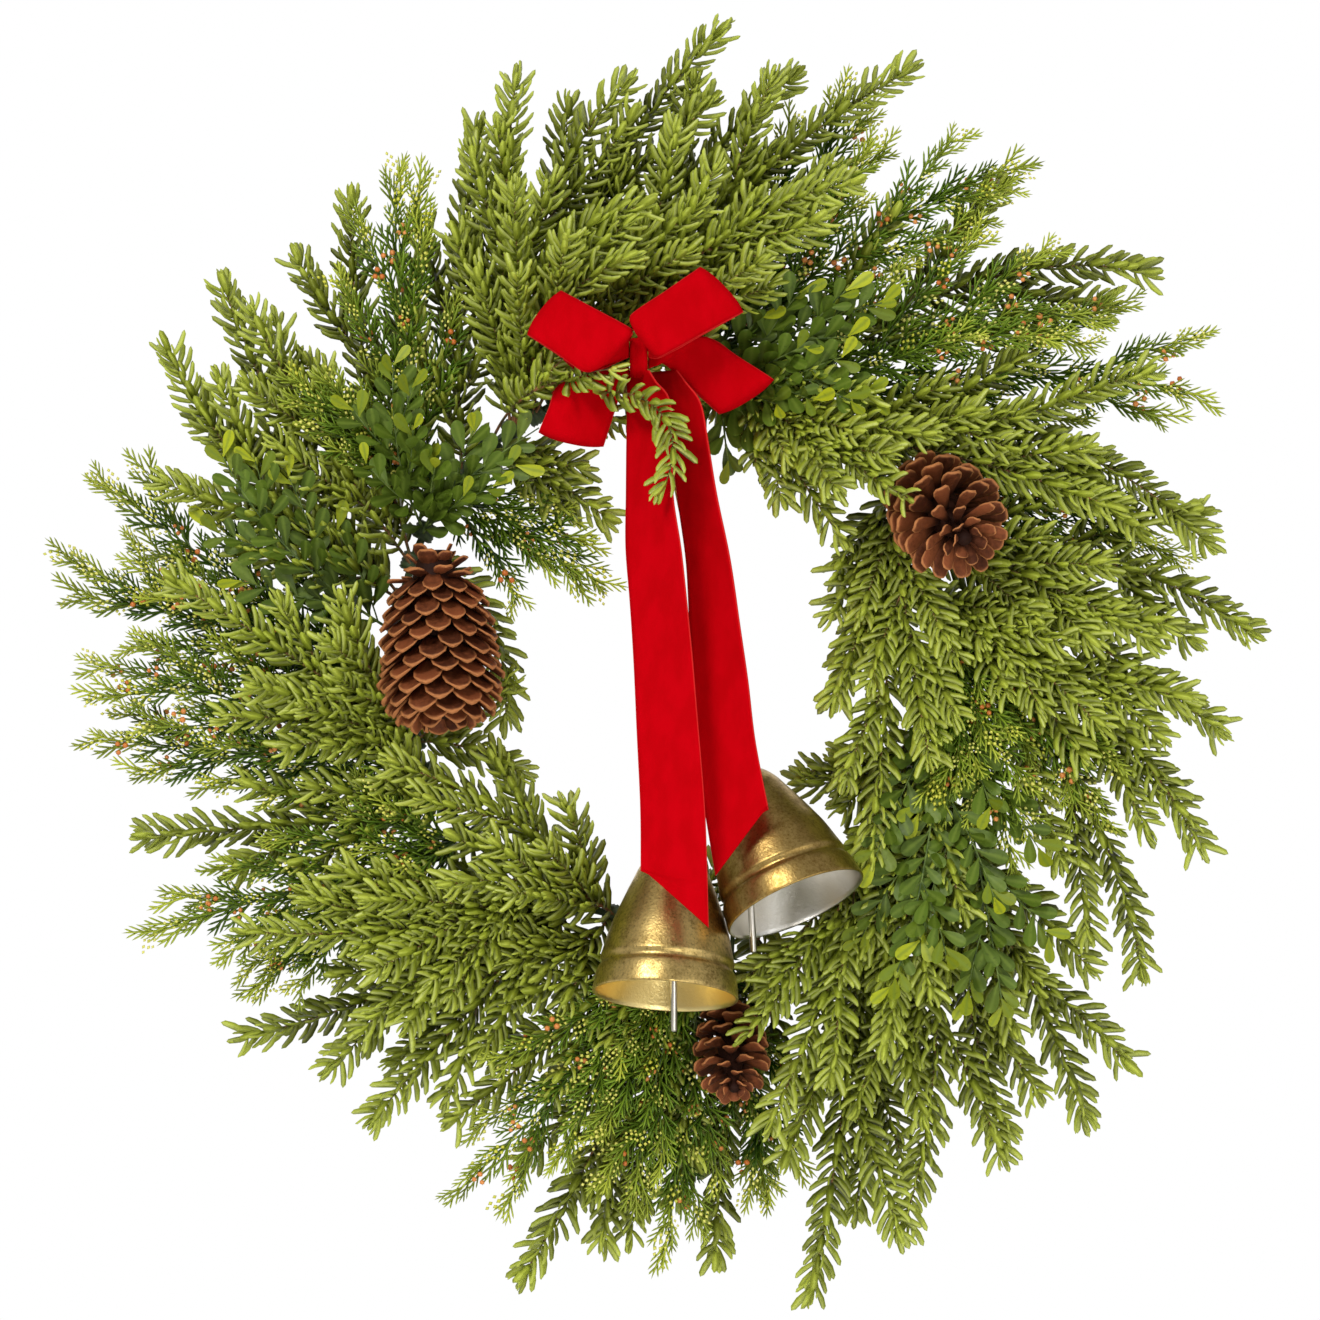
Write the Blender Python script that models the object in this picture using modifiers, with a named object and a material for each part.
"""Hanging wreath of moulded pine, cedar and boxwood sprays with a velvet bow, three cones and two bells.

Metres, +Z up. The wreath hangs in the XZ plane with its front towards -Y and the wall behind it at +Y.
The origin is the hanging point, the underside of the ring's wire at the top, where a nail carries it.
Every spray grows from a taped wrap round the wire ring, and all of them sweep clockwise.
"""

import math
import random

import bmesh
import bpy
import numpy as np
from mathutils import Matrix, Vector
from mathutils.bvhtree import BVHTree

MM = 0.001

# The photograph's scale: the velvet ribbon is 38 mm wide and measures 65.5 pixels across.
RIBBON_WIDTH = 38 * MM
RIBBON_WIDTH_PX = 65.5
PX = RIBBON_WIDTH / RIBBON_WIDTH_PX
RING_CENTRE_PX = (668, 650)

RING_RADIUS = 157 * MM
RING_WIRE_R = 2.5 * MM
RING_CENTRE_Z = -(RING_RADIUS - RING_WIRE_R)

WRAP_LENGTH = 11 * MM
WRAP_OUTER_R = 7 * MM
WRAP_HOLE_R = 4.0 * MM
STEM_OFFSET = 5.1 * MM

# A bell's profile is in BELL_PROFILE_MM; this is its height at the crown.
BELL_HEIGHT = 86 * MM
BELL_WIRE_R = 1.0 * MM
CLAPPER_R = 2.0 * MM
CLAPPER_LENGTH = 95 * MM
PIVOT_DEPTH = 10 * MM
CORD_R = 1.2 * MM

RIBBON_THICKNESS = 0.9 * MM
GAP = 0.3 * MM

rng = random.Random(28)


def clear_scene():
    for obj in list(bpy.data.objects):
        bpy.data.objects.remove(obj, do_unlink=True)


clear_scene()
parts = bpy.data.collections.new("pine_wreath")
bpy.context.scene.collection.children.link(parts)


def photo_point(px, py, front):
    """A pixel of the photograph as a point, with its distance in front of the ring in millimetres."""
    x = (px - RING_CENTRE_PX[0]) * PX
    z = RING_CENTRE_Z + (RING_CENTRE_PX[1] - py) * PX
    return Vector((x, -front * MM, z))


def ring_point(clock):
    """The ring's centreline at a clock angle in degrees, clockwise from the top."""
    a = math.radians(clock)
    return Vector((RING_RADIUS * math.sin(a), 0, RING_CENTRE_Z + RING_RADIUS * math.cos(a)))


def ring_tangent(clock):
    a = math.radians(clock)
    return Vector((math.cos(a), 0, -math.sin(a)))


def frame_along(direction, side):
    """Rotation whose Z axis is the direction and whose X axis is as near the side as it can be."""
    z = direction.normalized()
    x = (side - z * side.dot(z)).normalized()
    y = z.cross(x)
    return Matrix((x, y, z)).transposed().to_4x4()


def material(name, colour, roughness, metallic=0.0):
    mat = bpy.data.materials.new(name)
    mat.use_nodes = True
    shader = mat.node_tree.nodes["Principled BSDF"]
    shader.inputs["Base Color"].default_value = (*colour, 1)
    shader.inputs["Roughness"].default_value = roughness
    shader.inputs["Metallic"].default_value = metallic
    mat.diffuse_color = (*colour, 1)
    return mat


def add_object(name, mesh, mat=None):
    obj = bpy.data.objects.new(name, mesh)
    parts.objects.link(obj)
    if mat:
        mesh.materials.clear()
        mesh.materials.append(mat)
    return obj


def object_from(name, bm, mat=None):
    mesh = bpy.data.meshes.new(name)
    bm.to_mesh(mesh)
    bm.free()
    return add_object(name, mesh, mat)


def as_plain_mesh(obj, name, mat=None, outward=True):
    """The object as the viewport shows it, in world space, welded and facing out unless a union made it so."""
    depsgraph = bpy.context.evaluated_depsgraph_get()
    mesh = bpy.data.meshes.new_from_object(obj.evaluated_get(depsgraph))
    mesh.transform(obj.matrix_world)
    bpy.data.objects.remove(obj, do_unlink=True)
    bm = bmesh.new()
    bm.from_mesh(mesh)
    if outward:
        bmesh.ops.remove_doubles(bm, verts=bm.verts, dist=0.01 * MM)
        bmesh.ops.holes_fill(bm, edges=[e for e in bm.edges if e.is_boundary])
        bmesh.ops.recalc_face_normals(bm, faces=bm.faces)
    bm.to_mesh(mesh)
    bm.free()
    return add_object(name, mesh, mat)


def tube(name, points, radius, sides=8, thickness=None, turn=0.0, closed=False, mat=None):
    """A wire along points, as a bevelled curve made a mesh; thickness scales the radius at each point."""
    curve = bpy.data.curves.new(name, "CURVE")
    curve.dimensions = "3D"
    profile = None
    if sides == 3:
        profile = triangle_profile(radius)
        curve.bevel_mode = "OBJECT"
        curve.bevel_object = profile
    else:
        curve.bevel_depth = radius
        curve.bevel_resolution = (sides - 4) // 2
    curve.use_fill_caps = not closed
    spline = curve.splines.new("POLY")
    spline.points.add(len(points) - 1)
    spline.use_cyclic_u = closed
    for i, (point, co) in enumerate(zip(spline.points, points)):
        point.co = (*co, 1)
        point.radius = thickness[i] if thickness else 1
        point.tilt = i * turn
    wire = add_object(name, curve)
    bpy.context.view_layer.update()
    wire = as_plain_mesh(wire, name, mat)
    if profile:
        bpy.data.objects.remove(profile, do_unlink=True)
    return wire


def triangle_profile(radius):
    """A flat closed curve of three points, to bevel a slim stem with."""
    curve = bpy.data.curves.new("profile", "CURVE")
    curve.dimensions = "2D"
    spline = curve.splines.new("POLY")
    spline.points.add(2)
    spline.use_cyclic_u = True
    for i, point in enumerate(spline.points):
        a = i * 2 * math.pi / 3
        point.co = (radius * math.cos(a), radius * math.sin(a), 0, 1)
    return add_object("profile", curve)


def turned(name, profile, steps, matrix, mat=None):
    """A profile of radius and height, run top to bottom down its outer side, turned about +Z and placed."""
    bm = bmesh.new()
    points = [bm.verts.new((r, 0, z)) for r, z in profile]
    for a, b in zip(points, points[1:] + points[:1]):
        bm.edges.new((a, b))
    obj = object_from(name, bm)
    screw = obj.modifiers.new("turn", "SCREW")
    screw.axis = "Z"
    screw.steps = steps
    screw.render_steps = steps
    screw.use_merge_vertices = True
    screw.merge_threshold = 0.00005
    obj.matrix_world = matrix
    bpy.context.view_layer.update()
    return as_plain_mesh(obj, name, mat)


def torus(name, major, minor, matrix, rings=10, sides=4):
    points = []
    for i in range(rings):
        a = 2 * math.pi * i / rings
        points.append(matrix @ Vector((major * math.cos(a), major * math.sin(a), 0)))
    return tube(name, points, minor, sides=sides, closed=True)


def ball(name, centre, radius, segments=8, rings=4):
    bm = bmesh.new()
    bmesh.ops.create_uvsphere(
        bm, u_segments=segments, v_segments=rings, radius=radius, matrix=Matrix.Translation(centre)
    )
    return object_from(name, bm)


def drop_scraps(obj):
    """Keeps the body's one outer surface: a hollow that the union has sealed is filled, a loose scrap goes."""
    bm = bmesh.new()
    bm.from_mesh(obj.data)
    loose = set(bm.verts)
    islands = []
    while loose:
        island = [loose.pop()]
        for vert in island:
            for edge in vert.link_edges:
                other = edge.other_vert(vert)
                if other in loose:
                    loose.remove(other)
                    island.append(other)
        islands.append(island)
    islands.sort(key=len)
    for island in islands[:-1]:
        bmesh.ops.delete(bm, geom=island, context="VERTS")
    bm.to_mesh(obj.data)
    bm.free()


def fused(name, pieces, mat):
    """One Boolean union of the pieces in a collection on the first of them, applied."""
    body, rest = pieces[0], pieces[1:]
    if rest:
        group = bpy.data.collections.new(name + "_pieces")
        bpy.context.scene.collection.children.link(group)
        for piece in rest:
            parts.objects.unlink(piece)
            group.objects.link(piece)
        union = body.modifiers.new("join", "BOOLEAN")
        union.operation = "UNION"
        union.operand_type = "COLLECTION"
        union.collection = group
        union.solver = "MANIFOLD"
        bpy.context.view_layer.update()
        body = as_plain_mesh(body, name, mat, outward=False)
        for piece in rest:
            bpy.data.objects.remove(piece, do_unlink=True)
        bpy.data.collections.remove(group)
    drop_scraps(body)
    body.name = name
    body.data.name = name
    body.data.materials.clear()
    body.data.materials.append(mat)
    return body


wire_green = material("wire_green", (0.05, 0.09, 0.04), 0.5)
pine_green = material("pine_green", (0.23, 0.36, 0.09), 0.55)
cedar_green = material("cedar_green", (0.08, 0.2, 0.05), 0.6)
boxwood_green = material("boxwood_green", (0.14, 0.27, 0.07), 0.45)
cone_brown = material("cone_brown", (0.2, 0.08, 0.04), 0.75)
velvet_red = material("velvet_red", (0.6, 0.0, 0.01), 0.9)
bell_gold = material("bell_gold", (0.62, 0.42, 0.12), 0.35, 1.0)
rod_silver = material("rod_silver", (0.8, 0.79, 0.75), 0.25, 1.0)
cord_gold = material("cord_gold", (0.6, 0.42, 0.15), 0.5)


# The ring that carries everything

def build_ring():
    points = [ring_point(i * 360 / 42) for i in range(42)]
    return tube("ring_frame", points, RING_WIRE_R, sides=6, closed=True, mat=wire_green)


def wrap(name, clock, length=WRAP_LENGTH, outer=WRAP_OUTER_R, steps=5):
    """A taped wrap round the ring's wire, which clears the wire all round."""
    half = length / 2
    profile = [(outer, half), (outer, -half), (WRAP_HOLE_R, -half), (WRAP_HOLE_R, half)]
    place = Matrix.Translation(ring_point(clock)) @ frame_along(ring_tangent(clock), Vector((0, -1, 0)))
    return turned(name, profile, steps, place)


# The bells, their wires, clappers and cords

BELL_PROFILE_MM = [
    (1.8, 86.0), (8.0, 85.0), (14.5, 81.0), (19.5, 74.5), (26.0, 59.0), (33.5, 40.0),
    (38.6, 20.0), (39.0, 16.5), (40.2, 13.0), (42.0, 0.0),
]
BELL_INNER_MM = [(40.4, 0.0), (37.4, 18.0), (31.6, 40.0), (24.0, 59.0), (17.6, 73.5), (12.6, 79.4), (1.8, 84.0)]

BELLS = {
    "left": {"crown_px": (675, 848), "crown_front": 48, "roll": -4, "pitch": 14.4},
    "right": {"crown_px": (737, 772), "crown_front": 44, "roll": 24, "pitch": 18},
}


def bell_axis(bell):
    """Unit vector from the crown to the mouth: rolled in the picture's plane and pitched to the front."""
    roll, pitch = math.radians(bell["roll"]), math.radians(bell["pitch"])
    return Vector((math.sin(roll) * math.cos(pitch), -math.sin(pitch), -math.cos(roll) * math.cos(pitch)))


def bell_place(bell):
    """Matrix that stands the bell's own +Z on its axis, with its mouth's centre at its origin."""
    axis = bell_axis(bell)
    crown = photo_point(*bell["crown_px"], bell["crown_front"])
    return Matrix.Translation(crown + axis * BELL_HEIGHT) @ frame_along(-axis, Vector((1, 0, 0)))


def clapper_pose(side, bell):
    """Pivot, rod direction at rest and swing axis: plumb, or leaning on the lip where the bell tilts further."""
    axis = bell_axis(bell)
    pivot = bell_place(bell) @ Vector((0, 0, BELL_HEIGHT - PIVOT_DEPTH))
    down = Vector((0, 0, -1))
    if side == "left":
        return pivot, down, Vector((0, 1, 0))
    lip_angle = math.radians(25.6)
    swing = axis.cross(down).normalized()
    return pivot, Matrix.Rotation(lip_angle, 3, swing) @ axis, swing


def build_bell(side):
    bell = BELLS[side]
    place = bell_place(bell)
    profile = [(r * MM, z * MM) for r, z in BELL_PROFILE_MM + BELL_INNER_MM]
    turned(f"bell_{side}", profile, 18, place, bell_gold)

    pivot, rod, swing = clapper_pose(side, bell)
    axis = bell_axis(bell)
    eye_r, eye_wire = 3.4 * MM, 0.9 * MM
    staple_centre = pivot - axis * eye_r
    staple = torus("staple", eye_r, eye_wire, Matrix.Translation(staple_centre) @ frame_along(axis.cross(swing), swing))
    top_eye_centre = place @ Vector((0, 0, BELL_HEIGHT + eye_r + eye_wire + GAP))
    top_eye = torus("top_eye", eye_r, eye_wire, Matrix.Translation(top_eye_centre) @ frame_along(Vector((0, 1, 0)), axis))
    shank = tube("shank", [top_eye_centre + axis * eye_r, staple_centre - axis * eye_r], BELL_WIRE_R, sides=4)
    fused(f"bell_{side}_wire", [shank, staple, top_eye], rod_silver)

    eye_centre = pivot + rod * (eye_r - 2 * eye_wire - 2 * GAP)
    eye = torus("eye", eye_r, eye_wire, Matrix.Translation(eye_centre) @ frame_along(swing, rod))
    rod_start = eye_centre + rod * (eye_r + 0.4 * MM)
    rod_end = pivot + rod * CLAPPER_LENGTH
    fused(f"clapper_{side}", [tube("rod", [rod_start, rod_end], CLAPPER_R, sides=8), eye], rod_silver)
    return top_eye_centre - axis * (eye_r + eye_wire)


CORD_CLOCKS = {"left": 350.6, "right": 357.0}


def build_cord(side, eye_top):
    """A taut cord hitched round the ring's wire behind the bow, with a knot on the eye of its bell's wire."""
    hitch = wrap("hitch", CORD_CLOCKS[side], length=5 * MM, outer=5.8 * MM)
    start = ring_point(CORD_CLOCKS[side]) + Vector((0, -STEM_OFFSET + 0.8 * MM, 0))
    knot_r = 2.6 * MM
    towards = (start - eye_top).normalized()
    knot_centre = eye_top + towards * (knot_r + GAP)
    points = [start.lerp(knot_centre, i / 3) for i in range(4)]
    cord = tube("cord", points, CORD_R, sides=6)
    fused(f"bell_cord_{side}", [hitch, cord, ball("knot", knot_centre, knot_r, segments=6)], cord_gold)


# The velvet bow

def ribbon_strip(name, rows, thickness=RIBBON_THICKNESS, across=2):
    """A ribbon between its two edges, given as pairs of points along its length, thickened both ways."""
    bm = bmesh.new()
    grid = []
    for left, right in rows:
        grid.append([bm.verts.new(left.lerp(right, j / across)) for j in range(across + 1)])
    for near, far in zip(grid, grid[1:]):
        for j in range(across):
            bm.faces.new((near[j], near[j + 1], far[j + 1], far[j]))
    obj = object_from(name, bm)
    solid = obj.modifiers.new("thickness", "SOLIDIFY")
    solid.thickness = thickness
    solid.offset = 0
    return as_plain_mesh(obj, name, velvet_red)


# Each loop's fold, crest and knot ends in the photograph, with its depths in front of the ring.
BOW_LOOPS = {
    "bow_loop_upper_left": {
        "fold_px": ((563, 297), (530, 340)), "crest_px": ((622, 331), (585, 377)),
        "knot_px": ((629, 342), (629, 362)), "front": (84, 90, 76), "back": (72, 68, 70),
    },
    "bow_loop_upper_right": {
        "fold_px": ((699, 274), (741, 318)), "crest_px": ((650, 309), (684, 352)),
        "knot_px": ((649, 344), (649, 362)), "front": (84, 94, 76), "back": (71, 67, 70),
    },
    "bow_loop_lower_left": {
        "fold_px": ((540, 434), (604, 448)), "crest_px": ((560, 388), (622, 392)),
        "knot_px": ((629, 366), (629, 378)), "front": (54, 57, 63), "back": (44, 42, 57),
    },
    "bow_loop_lower_right": {
        "fold_px": ((772, 382), (718, 416)), "crest_px": ((716, 350), (678, 388)),
        "knot_px": ((649, 366), (649, 379)), "front": (58, 62, 63), "back": (48, 45, 57),
    },
}


def loop_rows(loop):
    """Pairs of edge points from the knot over the crest to the fold and back behind to the knot."""
    fold, crest, knot = loop["fold_px"], loop["crest_px"], loop["knot_px"]
    front_fold, front_crest, front_knot = loop["front"]
    back_fold, back_crest, back_knot = loop["back"]
    middle = (front_fold + back_fold) / 2
    tuck = 3.5
    rows = []

    def row(a, b, depth, pull=0.0):
        """A pair at a share of the way from one line to the other, drawn in by a pull in pixels."""
        pair = []
        for k in range(2):
            p = Vector(a[k]).lerp(Vector(b[k]), depth[0])
            inward = (Vector(crest[k]) - Vector(fold[k])).normalized() * pull
            pair.append(photo_point(*(p + inward), depth[1]))
        rows.append(tuple(pair))

    row(knot, crest, (0.0, front_knot))
    row(knot, crest, (0.55, (front_knot + front_crest) / 2 + 3))
    row(knot, crest, (1.0, front_crest))
    row(crest, fold, (0.5, (front_crest + front_fold) / 2 + 2))
    row(crest, fold, (1.0, front_fold), tuck)
    row(crest, fold, (1.0, (front_fold + middle) / 2), 0.6)
    row(crest, fold, (1.0, middle - 0.5), 0.0)
    row(crest, fold, (1.0, back_fold), tuck)
    row(crest, fold, (0.5, (back_crest + back_fold) / 2))
    row(knot, crest, (1.0, back_crest))
    row(knot, crest, (0.0, back_knot))
    return rows


# Each tail's centre line in the photograph: centre pixel, turn about its length in degrees, depth in mm.
TAIL_LEFT = [
    (641, 386, -66, 69), (645, 405, -58, 73), (646, 450, -54, 78), (650, 500, -45, 83), (653.5, 550, -35, 88),
    (658, 600, -32, 93), (663, 660, -27, 98), (667, 720, -23, 103), (672, 800, -17, 109), (673.5, 861, -6, 113),
]
TAIL_LEFT_CUT_PX = 61
TAIL_RIGHT = [
    (672, 388, -66, 57), (683, 408, -58, 64), (690, 450, -56, 71), (697, 500, -54, 75), (707, 560, -50, 80),
    (713, 620, -42, 85), (719, 680, -33, 90), (724, 740, -26, 95), (734, 801, -18, 99),
]
TAIL_RIGHT_CUT_PX = 72


def tail_rows(stations, cut_px, long_side):
    """Edge pairs down a tail; the last one runs on along its long side to make the slanting cut."""
    rows = []
    for x, y, turn, front in stations:
        half = RIBBON_WIDTH / 2
        a = math.radians(turn)
        across = Vector((math.cos(a), math.sin(a), 0)) * half
        centre = photo_point(x, y, front)
        rows.append((centre - across, centre + across))
    run = (rows[-1][0] - rows[-2][0] + rows[-1][1] - rows[-2][1]).normalized() * cut_px * PX
    left, right = rows[-1]
    if long_side == "right":
        rows.append((left + run * 0.02, right + run))
    else:
        rows.append((left + run, right + run * 0.02))
    return rows


def build_bow():
    for name, loop in BOW_LOOPS.items():
        ribbon_strip(name, loop_rows(loop))
    ribbon_strip("bow_tail_left", tail_rows(TAIL_LEFT, TAIL_LEFT_CUT_PX, "right"))
    ribbon_strip("bow_tail_right", tail_rows(TAIL_RIGHT, TAIL_RIGHT_CUT_PX, "left"))

    bm = bmesh.new()
    bmesh.ops.create_cube(bm, size=1)
    knot = object_from("bow_knot", bm, velvet_red)
    knot.scale = (10.4 * MM, 22 * MM, 24 * MM)
    knot.location = photo_point(639, 362, 67)
    bpy.context.view_layer.update()
    knot = as_plain_mesh(knot, "bow_knot", velvet_red)
    bevel = knot.modifiers.new("round", "BEVEL")
    bevel.width = 2.5 * MM
    bevel.segments = 2
    as_plain_mesh(knot, "bow_knot", velvet_red)

    tie_clock = 353.8
    start = ring_point(tie_clock) + Vector((0, -STEM_OFFSET, 0))
    end = photo_point(639, 362, 67 - 11) + Vector((0, 0.0003, 0))
    middle = start.lerp(end, 0.5) + Vector((0, 0, 2 * MM))
    tie = tube("tie", [start, middle, end], 0.9 * MM, sides=6)
    fused("bow_wire", [wrap("hitch", tie_clock, length=5 * MM, outer=6.2 * MM), tie], wire_green)


# The pine cones

CONES = {
    "cone_left": {
        "centre_px": (441, 635), "front": 60, "axis": (0.06, -0.10, -1.0), "length": 112, "width": 76,
        "clock": 268, "rows": 9, "columns": 8, "phase": 0.0,
    },
    "cone_right": {
        "centre_px": (941, 515), "front": 56, "axis": (0.30, -0.86, -0.42), "length": 84, "width": 70,
        "clock": 60.5, "rows": 8, "columns": 8, "phase": 0.4,
    },
    "cone_bottom": {
        "centre_px": (731, 1050), "front": 30, "axis": (0.05, -0.72, -0.70), "length": 68, "width": 47,
        "clock": 166, "rows": 7, "columns": 7, "phase": 0.8,
    },
}

CONE_CORE = 0.5
SCALE_LEAN = 0.13
SCALE_HALF_THICKNESS = 0.028


def open_scale(face, sector):
    """Moves a drawn-out face to the rim of its scale: out to the cone's outline, thin and leaning to its tip."""
    centre = face.calc_center_median()
    middle = math.atan2(centre.y, centre.x)
    level = centre.z
    reach = math.sqrt(max(0.12, 1 - (level * 0.98 + 0.16) ** 2))
    for v in face.verts:
        offset = math.atan2(v.co.y, v.co.x) - middle
        offset = (offset + math.pi) % (2 * math.pi) - math.pi
        angle = middle + math.copysign(0.4 * sector, offset)
        lower = 1 if v.co.z > level else -1
        radius = reach * (1.0 if lower > 0 else 0.93)
        height = level + SCALE_LEAN * reach + lower * SCALE_HALF_THICKNESS
        v.co = Vector((radius * math.cos(angle), radius * math.sin(angle), height))


def build_cone(name):
    """An open cone: a slim egg-shaped core whose faces are drawn out into scales, row on row in spirals."""
    cone = CONES[name]
    length, width = cone["length"] * MM, cone["width"] * MM
    rows, columns = cone["rows"], cone["columns"]
    bm = bmesh.new()
    bmesh.ops.create_uvsphere(bm, u_segments=columns, v_segments=rows + 2, radius=1)
    sector = 2 * math.pi / columns
    for v in bm.verts:
        along = v.co.z
        swirl = cone["phase"] + (along + 1) * 0.25 * (rows + 2) * sector
        radius = math.hypot(v.co.x, v.co.y) * CONE_CORE
        angle = math.atan2(v.co.y, v.co.x) + swirl
        v.co = Vector((radius * math.cos(angle), radius * math.sin(angle), along * 0.86))
    sides = [f for f in bm.faces if len(f.verts) == 4]
    for face in bmesh.ops.extrude_discrete_faces(bm, faces=sides)["faces"]:
        open_scale(face, sector)
    bmesh.ops.scale(bm, verts=bm.verts, vec=(width / 2, width / 2, length / 2))
    body = object_from("cone_body", bm)
    place = Matrix.Translation(photo_point(*cone["centre_px"], cone["front"]))
    body.data.transform(place @ frame_along(Vector(cone["axis"]), Vector((1, 0, 0))))
    centre = photo_point(*cone["centre_px"], cone["front"])
    foot = ring_point(cone["clock"]) + Vector((0, -STEM_OFFSET, 0))
    stem_top = centre - Vector(cone["axis"]).normalized() * length * 0.3
    bend = foot.lerp(stem_top, 0.5) + Vector((0, -3 * MM, 0))
    pick = tube("pick", [foot, bend, stem_top], 1.3 * MM, sides=6)
    return fused(name, [body, pick, wrap("hitch", cone["clock"], length=6 * MM)], cone_brown)


# The foliage: nodes by name, each with its clock angle on the ring and its sprays.
# A spray is the points that draw its curve from the ring to its tip, the last of them: each is a pixel of the
# photograph and a depth in front of the ring in millimetres.

PINE = {
    "pine_01": (281, [[(240, 500, 20), (172, 354, 26)], [(280, 450, 12), (226, 290, 10)]]),
    "pine_02": (289, [[(312, 430, 26), (254, 314, 34)], [(345, 330, 6), (352, 204, 2)]]),
    "pine_03": (311, [[(452, 290, 6), (478, 134, 4)]]),
    "pine_04": (325, [
        [(496, 250, 24), (516, 88, 26)], [(520, 190, 16), (624, 88, 12)],
        [(510, 240, 44), (638, 212, 52)], [(540, 290, 56), (628, 264, 60)],
    ]),
    "pine_05": (330.7, [[(560, 195, 8), (716, 36, 4)], [(600, 280, 34), (698, 210, 38)]]),
    "pine_06": (346.2, [[(660, 180, 6), (790, 80, 4)], [(700, 190, 18), (904, 74, 14)]]),
    "pine_07": (340.5, [[(700, 215, 44), (846, 188, 48)], [(710, 262, 32), (810, 236, 34)]]),
    "pine_08": (335.7, [[(596, 500, -6), (640, 420, 110), (672, 492, 120)]]),
    "pine_09": (319, [[(545, 470, 12), (604, 516, 16)], [(520, 372, 70), (612, 384, 66)]]),
    "pine_10": (21, [[(980, 236, 2), (1142, 272, 0)]]),
    "pine_11": (43, [[(1060, 392, 24), (1204, 542, 12)]]),
    "pine_12": (15, [
        [(810, 420, 50), (922, 438, 66)], [(822, 450, 57), (906, 502, 84)],
        [(775, 442, 24), (838, 536, 30)],
    ]),
    "pine_13": (36, [[(925, 412, 26), (1004, 448, 32)], [(1000, 462, 34), (1108, 508, 34)]]),
    "pine_14": (66, [
        [(1130, 540, 14), (1248, 632, 10)], [(1100, 640, 24), (1214, 728, 18)],
        [(1040, 572, 34), (1146, 640, 34)],
    ]),
    "pine_15": (78, [
        [(1120, 690, 26), (1196, 844, 18)], [(1010, 640, 38), (1096, 724, 42)],
        [(1110, 780, 12), (1141, 968, 6)], [(975, 610, 26), (1004, 660, 38)],
    ]),
    "pine_16": (55, [
        [(868, 580, 16), (838, 694, 22)], [(892, 690, 34), (868, 852, 42)],
        [(905, 640, 44), (926, 754, 50)],
    ]),
    "pine_18": (113, [
        [(965, 1020, 10), (1003, 1132, 6)], [(962, 1040, 20), (904, 1220, 16)],
        [(1050, 1000, 16), (1082, 1114, 12)],
    ]),
    "pine_19": (132, [[(848, 1120, 16), (812, 1287, 14)], [(872, 1090, 6), (856, 1208, 2)]]),
    "pine_20": (107, [[(910, 900, 38), (884, 1038, 46)], [(845, 796, 8), (803, 780, 10)]]),
    "pine_21": (122, [
        [(838, 970, 42), (770, 1118, 48)], [(840, 925, 34), (746, 1030, 54)],
        [(850, 880, 26), (768, 968, 26)],
    ]),
    "pine_22": (159, [[(716, 1110, -26), (716, 1252, -6)]]),
    "pine_23": (178, [
        [(622, 1120, 10), (526, 1270, 8)], [(646, 1120, 2), (630, 1232, 0)],
        [(570, 1030, 16), (458, 1116, 12)],
    ]),
    "pine_24": (200, [
        [(480, 990, 22), (378, 1114, 18)], [(400, 1000, 8), (248, 1036, 4)],
        [(520, 925, 4), (440, 850, -12)],
    ]),
    "pine_25": (208, [
        [(440, 940, 44), (254, 930, 42)], [(400, 915, 34), (312, 892, 34)],
        [(450, 945, 34), (366, 1026, 32)],
    ]),
    "pine_26": (192, [
        [(560, 866, 30), (454, 882, 40)], [(520, 800, 24), (398, 764, 36)],
        [(580, 985, 12), (502, 908, 18)],
    ]),
    "pine_27": (235, [[(330, 822, 14), (148, 836, 6)], [(420, 790, 18), (368, 730, 24)]]),
    "pine_28": (250, [
        [(360, 695, 36), (180, 584, 40)], [(372, 680, 44), (346, 604, 48)],
        [(350, 712, 28), (232, 718, 32)],
    ]),
}

CEDAR = {
    "cedar_01": (259, [[(230, 575, 12), (106, 486, 6)], [(215, 640, 4), (72, 560, 2)]]),
    "cedar_02": (243, [[(240, 690, 16), (101, 666, 14)], [(250, 752, 6), (104, 740, 4)]]),
    "cedar_03": (226, [
        [(320, 880, 22), (160, 930, 20)], [(330, 925, 12), (262, 984, 10)],
        [(410, 850, 20), (350, 780, 18)],
    ]),
    "cedar_04": (303, [
        [(388, 300, 22), (398, 180, 22)], [(368, 440, 34), (306, 388, 40)],
        [(520, 510, 14), (596, 580, 14)],
    ]),
    "cedar_05": (5, [[(880, 205, 18), (1012, 170, 14)], [(800, 190, 8), (866, 118, 6)]]),
    "cedar_06": (28, [[(940, 285, 26), (1088, 322, 22)], [(1050, 345, 14), (1192, 396, 10)]]),
    "cedar_07": (49.5, [[(1040, 492, 8), (1176, 556, 4)]]),
    "cedar_08": (85.5, [
        [(975, 720, 30), (1012, 866, 32)], [(1045, 700, 20), (1098, 816, 16)],
        [(965, 690, 38), (940, 800, 32)],
    ]),
    "cedar_09": (172, [
        [(600, 1055, 22), (460, 1188, 18)], [(646, 1080, 24), (636, 1190, 22)],
        [(690, 1110, 14), (666, 1243, 10)], [(760, 1110, -10), (769, 1188, -4)],
    ]),
}

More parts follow.
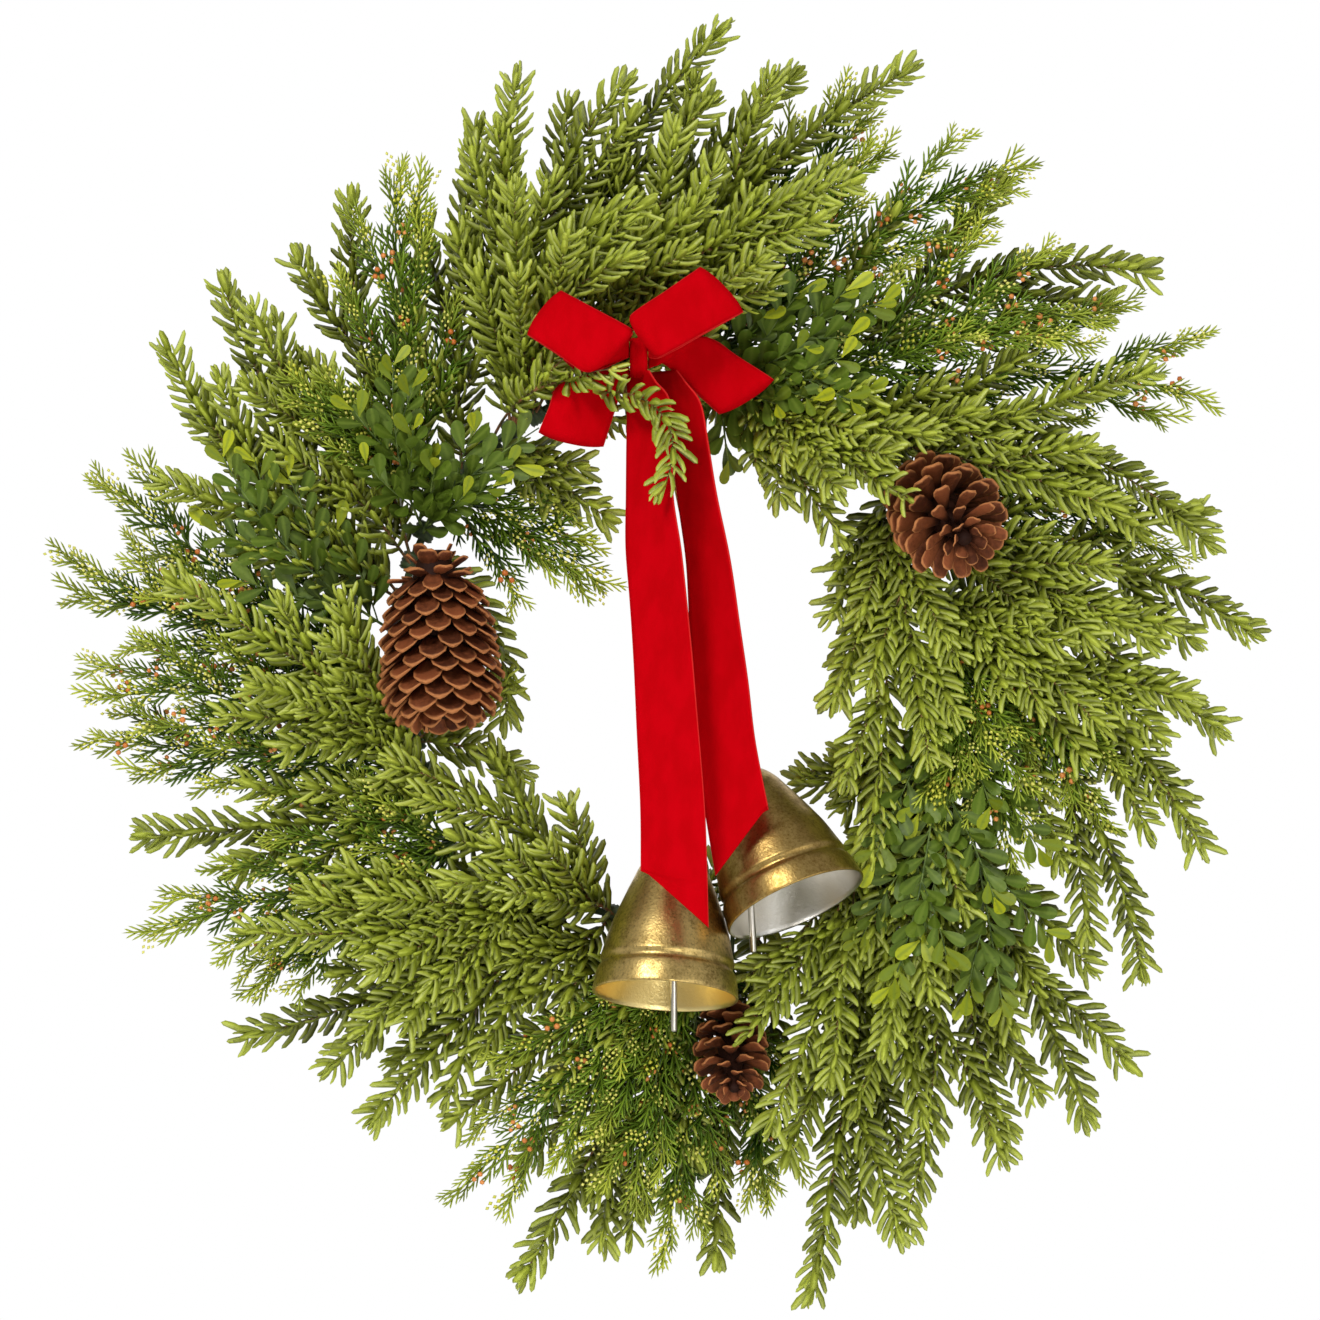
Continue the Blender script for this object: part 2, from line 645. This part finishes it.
BOXWOOD = {
    "boxwood_01": (296, [[(430, 500, 36), (540, 430, 46)], [(392, 470, 48), (396, 368, 52)]]),
    "boxwood_02": (274, [[(275, 560, 12), (226, 458, 16)]]),
    "boxwood_03": (10, [[(780, 330, 18), (880, 306, 22)], [(790, 372, 34), (872, 396, 40)]]),
    "boxwood_04": (92, [[(940, 850, 30), (890, 982, 36)], [(985, 900, 24), (1000, 1004, 22)]]),
}

# The share of a spray left bare at its root, more where its stem is threaded past the bow.
BARE_SHARE = 0.14
BARE_THREADED = {("pine_08", 0): 0.52, ("pine_09", 1): 0.38}


class Thicket:
    """Everything a new needle has to keep clear of, as small trees of faces with their boxes and owners."""

    def __init__(self, size=12000):
        self.low, self.high = np.zeros((size, 3)), np.zeros((size, 3))
        self.trees, self.owners = [], []

    def add(self, owner, points, faces):
        n = len(self.trees)
        self.low[n], self.high[n] = np.min(points, axis=0), np.max(points, axis=0)
        self.trees.append(BVHTree.FromPolygons(points, faces))
        self.owners.append(owner)

    def add_object(self, owner, obj):
        points = [obj.matrix_world @ v.co for v in obj.data.vertices]
        self.add(owner, points, [tuple(f.vertices) for f in obj.data.polygons])

    def meets(self, points, faces, skip=(), only=None):
        """Whether a small solid crosses any of the others, left out by owner or kept to one owner."""
        n = len(self.trees)
        low, high = np.min(points, axis=0), np.max(points, axis=0)
        near = np.nonzero((self.low[:n] <= high).all(axis=1) & (self.high[:n] >= low).all(axis=1))[0]
        tree = None
        for i in near:
            owner = self.owners[i]
            if owner in skip or (only is not None and owner != only):
                continue
            tree = tree or BVHTree.FromPolygons(points, faces)
            if tree.overlap(self.trees[i]):
                return True
        return False


thicket = Thicket()


def curve_point(points, share):
    """A point of the Bezier curve that the points control."""
    while len(points) > 1:
        points = [a.lerp(b, share) for a, b in zip(points, points[1:])]
    return points[0]


def spray_path(owner, clock, controls, pitch, stub, pair=0.0):
    """Points along a spray, down its bare stem and then one or a close pair every pitch, and the bare stretches."""
    bare = BARE_THREADED.get(owner, BARE_SHARE)
    stretches = 5 if owner in BARE_THREADED else 1
    apart = (owner[1] - 1) * 1.6 * MM
    root = ring_point(clock) + ring_tangent(clock) * apart + Vector((0, -STEM_OFFSET, 0))
    drawn = [root] + [photo_point(px, py, front) for px, py, front in controls]
    fine = [curve_point(drawn, i / 240) for i in range(241)]
    lengths = [0.0]
    for a, b in zip(fine, fine[1:]):
        lengths.append(lengths[-1] + (b - a).length)
    total = lengths[-1] - stub
    start = bare * total
    count = max(2, round((total - start) / pitch))
    stops = [start * i / stretches for i in range(stretches)]
    for i in range(count + 1):
        stop = start + (total - start) * i / count
        stops += [stop - pair, stop] if pair else [stop]
    return [fine[min(range(241), key=lambda k: abs(lengths[k] - stop))] for stop in stops], stretches


SPRAY_KINDS = {
    "pine": {"pitch": 17.0, "pair": 0, "core": 2.2, "taper": 0.5, "reach": 20.0, "lean": 46, "stub": 14.0},
    "cedar": {"pitch": 25.0, "pair": 0, "core": 1.9, "taper": 0.5, "reach": 34.0, "lean": 31, "stub": 26.0},
    "boxwood": {"pitch": 15.0, "pair": 3.0, "core": 2.0, "taper": 0.3, "reach": 17.0, "lean": 52, "stub": 12.0},
}


def route_sprays():
    """Every spray as a bare stem, all entered in the thicket before any needle is drawn."""
    sprays = []
    for kind, table in (("pine", PINE), ("cedar", CEDAR), ("boxwood", BOXWOOD)):
        sizes = SPRAY_KINDS[kind]
        for name, (clock, routes) in table.items():
            for order, controls in enumerate(routes):
                owner = (name, order)
                points, bare = spray_path(
                    owner, clock, controls, sizes["pitch"] * MM, sizes["stub"] * MM, sizes["pair"] * MM
                )
                count = len(points)
                thickness = [1.0 - sizes["taper"] * i / (count - 1) for i in range(count)]
                stem = tube(
                    "stem", points, sizes["core"] * MM, sides=3, thickness=thickness, turn=math.radians(60)
                )
                thicket.add_object(owner, stem)
                sprays.append({
                    "kind": kind, "name": name, "owner": owner, "points": points, "bare": bare, "stem": stem
                })
    return sprays


def nearest_on_path(points, co):
    """The path's stretch nearest a point, its direction there and the point on it."""
    best = None
    for i, (a, b) in enumerate(zip(points, points[1:])):
        along = b - a
        share = min(1, max(0, (co - a).dot(along) / along.length_squared))
        foot = a + along * share
        if best is None or (co - foot).length < best[0]:
            best = ((co - foot).length, i, along.normalized(), foot)
    return best[1:]


def fan(count):
    """Faces from each side of a base to the apex, which is the last point."""
    return [(i, (i + 1) % count, count) for i in range(count)]


def spike_fits(owner, base, apex, margin):
    """Whether a spike stands clear: its whole by a margin from others, its outer part from its own spray."""
    centre = sum(base, Vector()) / len(base)
    swollen = [p + (p - centre).normalized() * margin for p in base]
    reach = apex + (apex - centre).normalized() * margin
    faces = fan(len(base))
    if thicket.meets(swollen + [reach], faces, skip=(owner,)):
        return False
    outer = [p.lerp(apex, 0.3) for p in base]
    return not thicket.meets(outer + [reach], faces, only=owner)


def clear_of_hard(tree, start, end, margin):
    for i in range(1, 8):
        if tree.find_nearest(start.lerp(end, i / 7), margin)[0] is not None:
            return False
    return True


def draw_needles(spray, hard):
    """The faces of the stem past its bare part, each drawn out into a needle that leans forward."""
    kind, owner, points = spray["kind"], spray["owner"], spray["points"]
    sizes = SPRAY_KINDS[kind]
    count = len(points)
    stem = spray["stem"]
    bm = bmesh.new()
    bm.from_mesh(stem.data)
    if kind == "cedar":
        bmesh.ops.triangulate(bm, faces=bm.faces, quad_method="BEAUTY")
    for face in list(bm.faces):
        centre = face.calc_center_median()
        index, along, foot = nearest_on_path(points, centre)
        out = centre - foot
        at_end = index == count - 2 and (centre - points[-1]).length < 0.3 * MM
        if not at_end and (index < spray["bare"] or out.length < 0.3 * MM):
            continue
        late = index / (count - 2)
        base = [v.co.copy() for v in face.verts]
        apex = None
        for shrink in (1.0, 0.92, 0.82, 0.7, 0.56, 0.42):
            lean = math.radians(sizes["lean"] * (1.05 - 0.3 * late) + rng.uniform(-6, 6))
            turn = Matrix.Rotation(math.radians(rng.uniform(-14, 14)), 3, along)
            way = along * math.cos(lean) + (turn @ out.normalized()) * math.sin(lean)
            if at_end:
                way = along
            end = centre + way * sizes["reach"] * MM * (1.0 - 0.2 * late) * shrink * rng.uniform(0.92, 1.06)
            if spike_fits(owner, base, end, 0.5 * MM) and clear_of_hard(hard, centre, end, 1.6 * MM):
                apex = end
                break
        if apex is None:
            continue
        thicket.add(owner, base + [apex], fan(len(base)))
        made = bmesh.ops.poke(bm, faces=[face])
        made["verts"][0].co = apex
    bmesh.ops.triangulate(bm, faces=bm.faces)
    bm.to_mesh(stem.data)
    bm.free()
    return [stem]


def leaf_blade(base, root, way, up, length):
    """A leaf's widest part as three points, facing along the leaf in the order of its base, and its tip."""
    across = way.cross(up).normalized()
    wide = root + way * length * 0.6
    half = length * 0.24
    rim = [wide + across * half + up * 0.5 * MM, wide - across * half + up * 0.5 * MM, wide - up * 0.8 * MM]
    if (rim[1] - rim[0]).cross(rim[2] - rim[0]).dot(way) < 0:
        rim = [rim[1], rim[0], rim[2]]
    turns = [rim[k:] + rim[:k] for k in range(3)]
    rim = min(turns, key=lambda t: sum((p - b).length for p, b in zip(t, base)))
    return rim, root + way * length


def draw_leaves(spray, hard):
    """Pairs of leaves, each drawn out of a small face of the stem between two rings that stand close by."""
    owner, points, stem = spray["owner"], spray["points"], spray["stem"]
    length_full = SPRAY_KINDS["boxwood"]["reach"] * MM
    count = len(points)
    front = Vector((0, -1, 0))
    bm = bmesh.new()
    bm.from_mesh(stem.data)
    bmesh.ops.triangulate(bm, faces=bm.faces, quad_method="BEAUTY")
    spots = {}
    for face in bm.faces:
        centre = face.calc_center_median()
        index, along, foot = nearest_on_path(points, centre)
        short = (points[index + 1] - points[index]).length < 5 * MM
        if index >= spray["bare"] and short and (centre - foot).length > 0.3 * MM:
            spots.setdefault(index, []).append((face, along, centre, foot))
    for index, faces in spots.items():
        along = faces[0][1]
        across = along.cross(front).normalized()
        chosen = []
        for side in (-1, 1):
            face = max(faces, key=lambda f: (f[2] - f[3]).normalized().dot(across * side))
            if face[0] not in [c[0][0] for c in chosen]:
                chosen.append((face, side))
        for (face, _, centre, _), side in chosen:
            way = along * 0.62 + across * side * 0.8 + front * rng.uniform(-0.3, 0.35)
            way.normalize()
            up = front + across * side * 0.3
            up = (up - way * up.dot(way)).normalized()
            base = [v.co.copy() for v in face.verts]
            for shrink in (1.0, 0.85, 0.7):
                length = length_full * (1.0 - 0.2 * index / count) * shrink * rng.uniform(0.92, 1.08)
                rim, tip = leaf_blade(base, centre, way, up, length)
                swollen = [p + (p - centre).normalized() * 0.5 * MM for p in rim + [tip]]
                body = base + swollen
                walls = [(i, (i + 1) % 3, (i + 1) % 3 + 3, i + 3) for i in range(3)]
                walls += [(3 + i, 3 + (i + 1) % 3, 6) for i in range(3)]
                outer = [b.lerp(q, 0.4) for b, q in zip(base, swollen)] + swollen
                if thicket.meets(body, walls, skip=(owner,)) or thicket.meets(outer, walls, only=owner):
                    continue
                if not clear_of_hard(hard, centre, tip, 4.4 * MM):
                    continue
                thicket.add(owner, base + rim + [tip], walls)
                top = bmesh.ops.extrude_discrete_faces(bm, faces=[face])["faces"][0]
                for vert, co in zip(top.verts, rim):
                    vert.co = co
                bmesh.ops.poke(bm, faces=[top])["verts"][0].co = tip
                break
    bm.to_mesh(stem.data)
    bm.free()
    return [stem]


def hard_tree():
    """One tree of the faces of all that isn't foliage, to keep needles well clear of it."""
    points, faces = [], []
    for obj in parts.objects:
        base = len(points)
        points.extend(obj.matrix_world @ v.co for v in obj.data.vertices)
        faces.extend([base + i for i in face.vertices] for face in obj.data.polygons)
    return BVHTree.FromPolygons(points, faces)


def build_foliage():
    hard = hard_tree()
    for obj in list(parts.objects):
        thicket.add_object(obj.name, obj)
    wraps = {}
    for table in (PINE, CEDAR, BOXWOOD):
        for name, (clock, _) in table.items():
            wraps[name] = wrap("wrap", clock)
            thicket.add_object(name, wraps[name])
    colours = {"pine": pine_green, "cedar": cedar_green, "boxwood": boxwood_green}
    bunches = {}
    for spray in route_sprays():
        kind, pieces = bunches.setdefault(spray["name"], (spray["kind"], [wraps[spray["name"]]]))
        pieces.extend(draw_leaves(spray, hard) if kind == "boxwood" else draw_needles(spray, hard))
    for name, (kind, pieces) in bunches.items():
        fused(name, pieces, colours[kind])


def build_wreath():
    build_ring()
    for side in BELLS:
        eye_top = build_bell(side)
        build_cord(side, eye_top)
    build_bow()
    for name in CONES:
        build_cone(name)
    build_foliage()


build_wreath()
